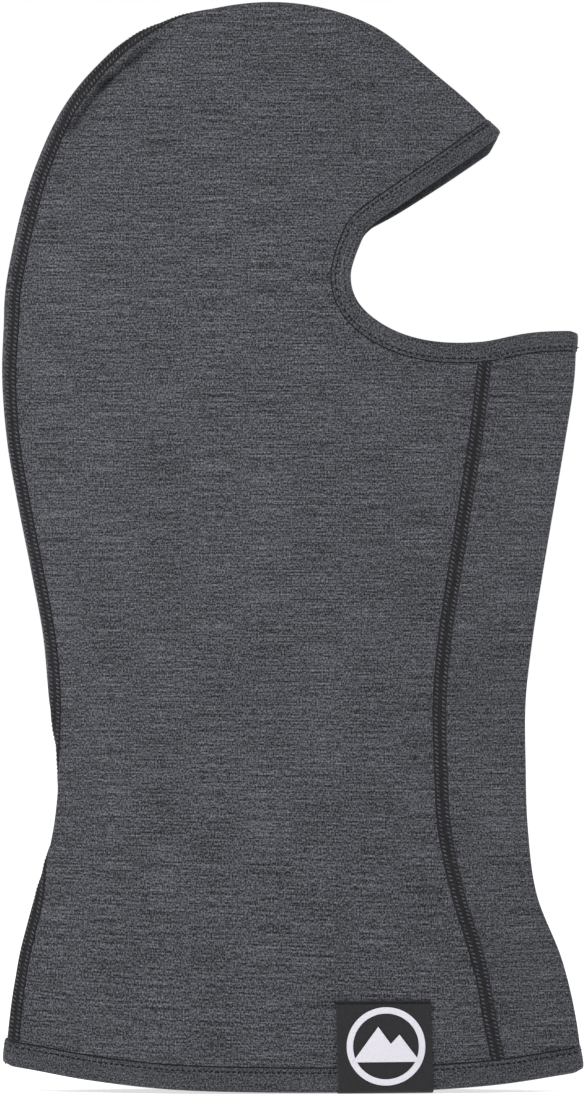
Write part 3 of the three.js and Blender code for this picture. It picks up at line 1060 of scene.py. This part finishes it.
def flat_start(corners, radius):
    """A flat disc of a few corners round the origin, left in edit mode."""
    bpy.ops.object.select_all(action="DESELECT")
    bpy.ops.mesh.primitive_circle_add(vertices=corners, radius=radius, fill_type="NGON")
    bpy.ops.object.mode_set(mode="EDIT")
    bpy.ops.mesh.select_all(action="SELECT")
    return bpy.context.object


def emblem_ring(radius):
    piece = flat_start(72, radius)
    bpy.ops.mesh.inset(thickness=radius * 0.08)
    bpy.ops.mesh.inset(thickness=radius * 0.08)
    bpy.ops.mesh.delete(type="FACE")
    bpy.ops.object.mode_set(mode="OBJECT")
    return piece


def emblem_peaks(radius):
    piece = flat_start(len(PEAKS), radius)
    bpy.ops.object.mode_set(mode="OBJECT")
    for vertex, (x, z) in zip(piece.data.vertices, PEAKS):
        vertex.co = (x * radius, z * radius, 0)
    bpy.ops.object.mode_set(mode="EDIT")
    bpy.ops.mesh.quads_convert_to_tris()
    bpy.ops.mesh.subdivide(number_cuts=5)
    bpy.ops.object.mode_set(mode="OBJECT")
    return piece


def emblem(surface, sizes):
    ring = emblem_ring(sizes.emblem_radius)
    peaks = emblem_peaks(sizes.emblem_radius)
    ring.select_set(True)
    bpy.context.view_layer.objects.active = ring
    bpy.ops.object.join()
    ring.name = ring.data.name = "emblem_peaks_in_ring"
    on_label(surface, sizes, ring, 0.75 * MM)
    face_outwards(ring)
    thicken(ring, 0.25 * MM)
    return ring


class PieceOperator:
    """What the operators of the pieces share."""

    bl_options = {"REGISTER"}

    def execute(self, context):
        sizes = context.scene.balaclava_sizes
        colours = context.scene.balaclava_colours
        self.build(HoodSurface(sizes), sizes, colours)
        return {"FINISHED"}


class BALACLAVA_OT_side_panels(PieceOperator, bpy.types.Operator):
    """Knits the two side panels, from the back seam to the face edge and the front seams"""

    bl_idname = "balaclava.side_panels"
    bl_label = "Side panels"

    def build(self, surface, sizes, colours):
        for side, node_name in ((RIGHT, "right_side_panel"), (LEFT, "left_side_panel")):
            panel = side_panel(surface, side, sizes.cloth)
            finish_piece(panel, [jersey_material(colours), shaded_inner_material(colours)], "jersey", node_name)


class BALACLAVA_OT_front_neck_panel(PieceOperator, bpy.types.Operator):
    """Knits the front neck panel, folded between the two front seams"""

    bl_idname = "balaclava.front_neck_panel"
    bl_label = "Front neck panel"

    def build(self, surface, sizes, colours):
        panel = front_neck_panel(surface, sizes.cloth)
        finish_piece(panel, [jersey_material(colours), shaded_inner_material(colours)], "jersey", "front_neck_panel")


class BALACLAVA_OT_bindings(PieceOperator, bpy.types.Operator):
    """Folds the bindings round the face opening and the hem"""

    bl_idname = "balaclava.bindings"
    bl_label = "Bindings"

    def build(self, surface, sizes, colours):
        face = section_of(BINDING_SECTION, sizes.face_binding)
        hem = section_of(BINDING_SECTION, sizes.hem_binding)
        face_strip = sweep("folded_face_binding", face_stations(surface, EDGE_PITCH), face, True)
        hem_strip = sweep("folded_hem_band", hem_stations(surface, EDGE_PITCH), hem, True)
        cloths = [binding_material(colours), shaded_inner_material(colours)]
        finish_piece(face_strip, cloths, "binding", "face_binding")
        finish_piece(hem_strip, cloths, "binding", "hem_binding")
        mark_inner(face_strip, face)
        mark_inner(hem_strip, hem)


class BALACLAVA_OT_seams(PieceOperator, bpy.types.Operator):
    """Sews the three flatlock seams, each a band of thread with two columns of raised loops"""

    bl_idname = "balaclava.seams"
    bl_label = "Flatlock seams"

    def build(self, surface, sizes, colours):
        def beside_fold(station):
            return surface.seam_side(station.place)

        lines = [
            ("back_seam", "back_seam_thread", back_seam_stations(surface, sizes.seam_pitch), beside_fold),
            ("right_neck_seam", "right_neck_seam_thread",
             front_seam_stations(surface, RIGHT, sizes.seam_pitch), None),
            ("left_neck_seam", "left_neck_seam_thread",
             front_seam_stations(surface, LEFT, sizes.seam_pitch), None),
        ]
        section = section_of(SEAM_SECTION, sizes.seam_width / 2)
        for name, node_name, stations, around in lines:
            band = sweep(f"{name}_band", stations, section, False, around or 0.0)
            finish_piece(band, [seam_material(colours)], "thread", node_name)
            places = loops_of_seam(stations, sizes.seam_width / 2, around)
            one = stitch("loop", *SEAM_LOOP)
            loops = copies_joined(one, places, f"{name}_loops")
            finish_piece(loops, [loop_thread_and_glint_material(colours)], "thread")


def painted_edge_shadow_section(width):
    """A thin dark strip beside the free edge of a binding: painted shadow where the binding's edge steps down
    to the panel.
    """
    middle, half = width * PAINTED_EDGE_SHADOW_SHARE, 0.3 * MM
    low, high = -0.2 * MM, 0.15 * MM
    return [(middle - half, low), (middle - half, high), (middle + half, high), (middle + half, low)]


def thread_tail(surface):
    """The cut end of the binding thread, which sticks out of the front fold under the chin."""
    fold = surface.front_fold(TAIL_LEVEL)
    tail = stitch("chin_thread_tail", *THREAD_TAIL)
    tail.data.transform(Matrix.Translation((fold.x, 0, fold.y)))
    return tail


class BALACLAVA_OT_edge_stitching(PieceOperator, bpy.types.Operator):
    """Sews the rows of stitches that hold the bindings"""

    bl_idname = "balaclava.edge_stitching"
    bl_label = "Edge stitching"

    def build(self, surface, sizes, colours):
        rows = [
            ("face_binding_stitches", face_stations(surface, sizes.edge_pitch), sizes.face_binding,
             ("face_binding_stitching", "face_binding_inner_stitching")),
            ("hem_stitches", hem_stations(surface, sizes.edge_pitch), sizes.hem_binding,
             ("hem_stitching", "hem_inner_stitching")),
        ]
        for name, stations, width, nodes in rows:
            one = stitch("dash", *EDGE_DASH)
            places = dashes_of_edge(stations, width * DASH_SHARE, (0.4 * MM, -1.7 * MM))
            sewn = copies_joined(one, places, name)
            # A thin dark strip in the thread material: painted shadow along the binding's free edge.
            painted_edge_shadow = sweep(f"{name}_groove", stations, painted_edge_shadow_section(width), True)
            finish_piece(sewn, [thread_and_edge_shadow_material(colours)], "thread", *nodes)
            finish_piece(painted_edge_shadow, [thread_and_edge_shadow_material(colours)], "thread")
        finish_piece(thread_tail(surface), [thread_and_edge_shadow_material(colours)], "thread")


class BALACLAVA_OT_label(PieceOperator, bpy.types.Operator):
    """Folds the woven label over the hem, with its emblem and its stitching"""

    bl_idname = "balaclava.label"
    bl_label = "Woven label"

    def build(self, surface, sizes, colours):
        stations = label_stations(surface, sizes)
        ribbon = sweep("woven_ribbon_label", stations, label_section(sizes), False)
        finish_piece(ribbon, [label_material(colours)], "label", "woven_label")
        badge = finish_piece(emblem(surface, sizes), [emblem_material(colours)], "emblem", "label_emblem")
        one = stitch("label_stitch", *LABEL_STITCH)
        top = sizes.label_height - 1.1 * MM
        places = [
            seat(station, ahead, top, label_lift(top) + 0.6 * MM, 0.0)
            for station, ahead in zip(stations, stations[1:])
        ]
        sewn = copies_joined(one, places, "label_stitches")
        finish_piece(sewn, [thread_and_edge_shadow_material(colours)], "thread", "label_stitching")


class BALACLAVA_OT_stage(PieceOperator, bpy.types.Operator):
    """Sets the floor, the light and the camera"""

    bl_idname = "balaclava.stage"
    bl_label = "Stage"

    def build(self, surface, sizes, colours):
        add_floor(colours)
        add_light()
        add_camera()


def add_floor(colours):
    bpy.ops.object.select_all(action="DESELECT")
    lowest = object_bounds()[0].z - 0.4 * MM
    bpy.ops.mesh.primitive_plane_add(size=40, location=(0, 0, lowest))
    floor = bpy.context.object
    floor.name = "floor"
    material = bpy.data.materials.new("pale floor")
    material.use_nodes = True
    shader = material.node_tree.nodes["Principled BSDF"]
    shader.inputs["Base Color"].default_value = (*colours.floor, 1)
    shader.inputs["Roughness"].default_value = 0.9
    shader.inputs["Emission Color"].default_value = (*colours.floor, 1)
    shader.inputs["Emission Strength"].default_value = 0.75
    floor.data.materials.append(material)
    floor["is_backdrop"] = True


def add_light():
    """Even light all round, which is seen as white, and one soft lamp high in front."""
    world = bpy.data.worlds.new("studio")
    world.use_nodes = True
    tree = world.node_tree
    tree.nodes.clear()
    seen = node(tree, "ShaderNodeBackground", color=(1, 1, 1, 1), strength=1.0)
    around = node(tree, "ShaderNodeBackground", color=(1, 1, 1, 1), strength=0.5)
    mixed = node(tree, "ShaderNodeMixShader", {"Fac": node(tree, "ShaderNodeLightPath").outputs[0]})
    tree.links.new(around.outputs[0], mixed.inputs[1])
    tree.links.new(seen.outputs[0], mixed.inputs[2])
    node(tree, "ShaderNodeOutputWorld", {"Surface": mixed.outputs[0]})
    bpy.context.scene.world = world
    bpy.ops.object.light_add(type="AREA", location=(-0.6, -1.7, 1.8))
    lamp = bpy.context.object
    lamp.name = "soft_lamp"
    lamp.data.size = 1.0
    lamp.data.energy = 38
    aim = Vector((0, 0, 0.23)) - lamp.location
    lamp.rotation_euler = aim.to_track_quat("-Z", "Y").to_euler()


def add_camera():
    """A long lens square to the right side, with the hood nearly filling the picture."""
    lens = 500.0
    picture_height = 0.46495
    distance = picture_height * lens / 36
    bpy.ops.object.camera_add(location=(0.0004, -distance, 0.2304), rotation=(math.pi / 2, 0, 0))
    camera = bpy.context.object
    camera.name = "camera"
    camera.data.lens = lens
    camera.data.sensor_width = 36
    camera.data.clip_start = 0.1
    camera.data.clip_end = 60
    scene = bpy.context.scene
    scene.camera = camera
    scene.view_settings.view_transform = "Standard"


OPERATORS = (
    BALACLAVA_OT_side_panels,
    BALACLAVA_OT_front_neck_panel,
    BALACLAVA_OT_bindings,
    BALACLAVA_OT_seams,
    BALACLAVA_OT_edge_stitching,
    BALACLAVA_OT_label,
    BALACLAVA_OT_stage,
)


class BALACLAVA_PT_pieces(bpy.types.Panel):
    """Lists the pieces of the balaclava and the stage"""

    bl_idname = "BALACLAVA_PT_pieces"
    bl_label = "Balaclava"
    bl_space_type = "VIEW_3D"
    bl_region_type = "UI"
    bl_category = "Balaclava"

    def draw(self, context):
        for operator in OPERATORS:
            self.layout.operator(operator.bl_idname)
        for group in (context.scene.balaclava_sizes, context.scene.balaclava_colours):
            box = self.layout.box()
            for name in group.__annotations__:
                box.prop(group, name)


CLASSES = (BalaclavaSizes, BalaclavaColours, *OPERATORS, BALACLAVA_PT_pieces)


def register():
    for cls in CLASSES:
        bpy.utils.register_class(cls)
    bpy.types.Scene.balaclava_sizes = PointerProperty(type=BalaclavaSizes)
    bpy.types.Scene.balaclava_colours = PointerProperty(type=BalaclavaColours)


def unregister():
    del bpy.types.Scene.balaclava_colours
    del bpy.types.Scene.balaclava_sizes
    for cls in reversed(CLASSES):
        bpy.utils.unregister_class(cls)


def write_sizes():
    """Gathers the CAD box and the box of the finished pieces into a table, which is not kept."""
    boxes = {"cad": CAD_BOX, "visual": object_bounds()}
    {name: [list(corner) for corner in box] for name, box in boxes.items()}


def main():
    register()
    bpy.ops.balaclava.side_panels()
    bpy.ops.balaclava.front_neck_panel()
    bpy.ops.balaclava.bindings()
    bpy.ops.balaclava.seams()
    bpy.ops.balaclava.edge_stitching()
    bpy.ops.balaclava.label()
    bpy.ops.balaclava.stage()
    write_sizes()


if __name__ == "__main__":
    main()
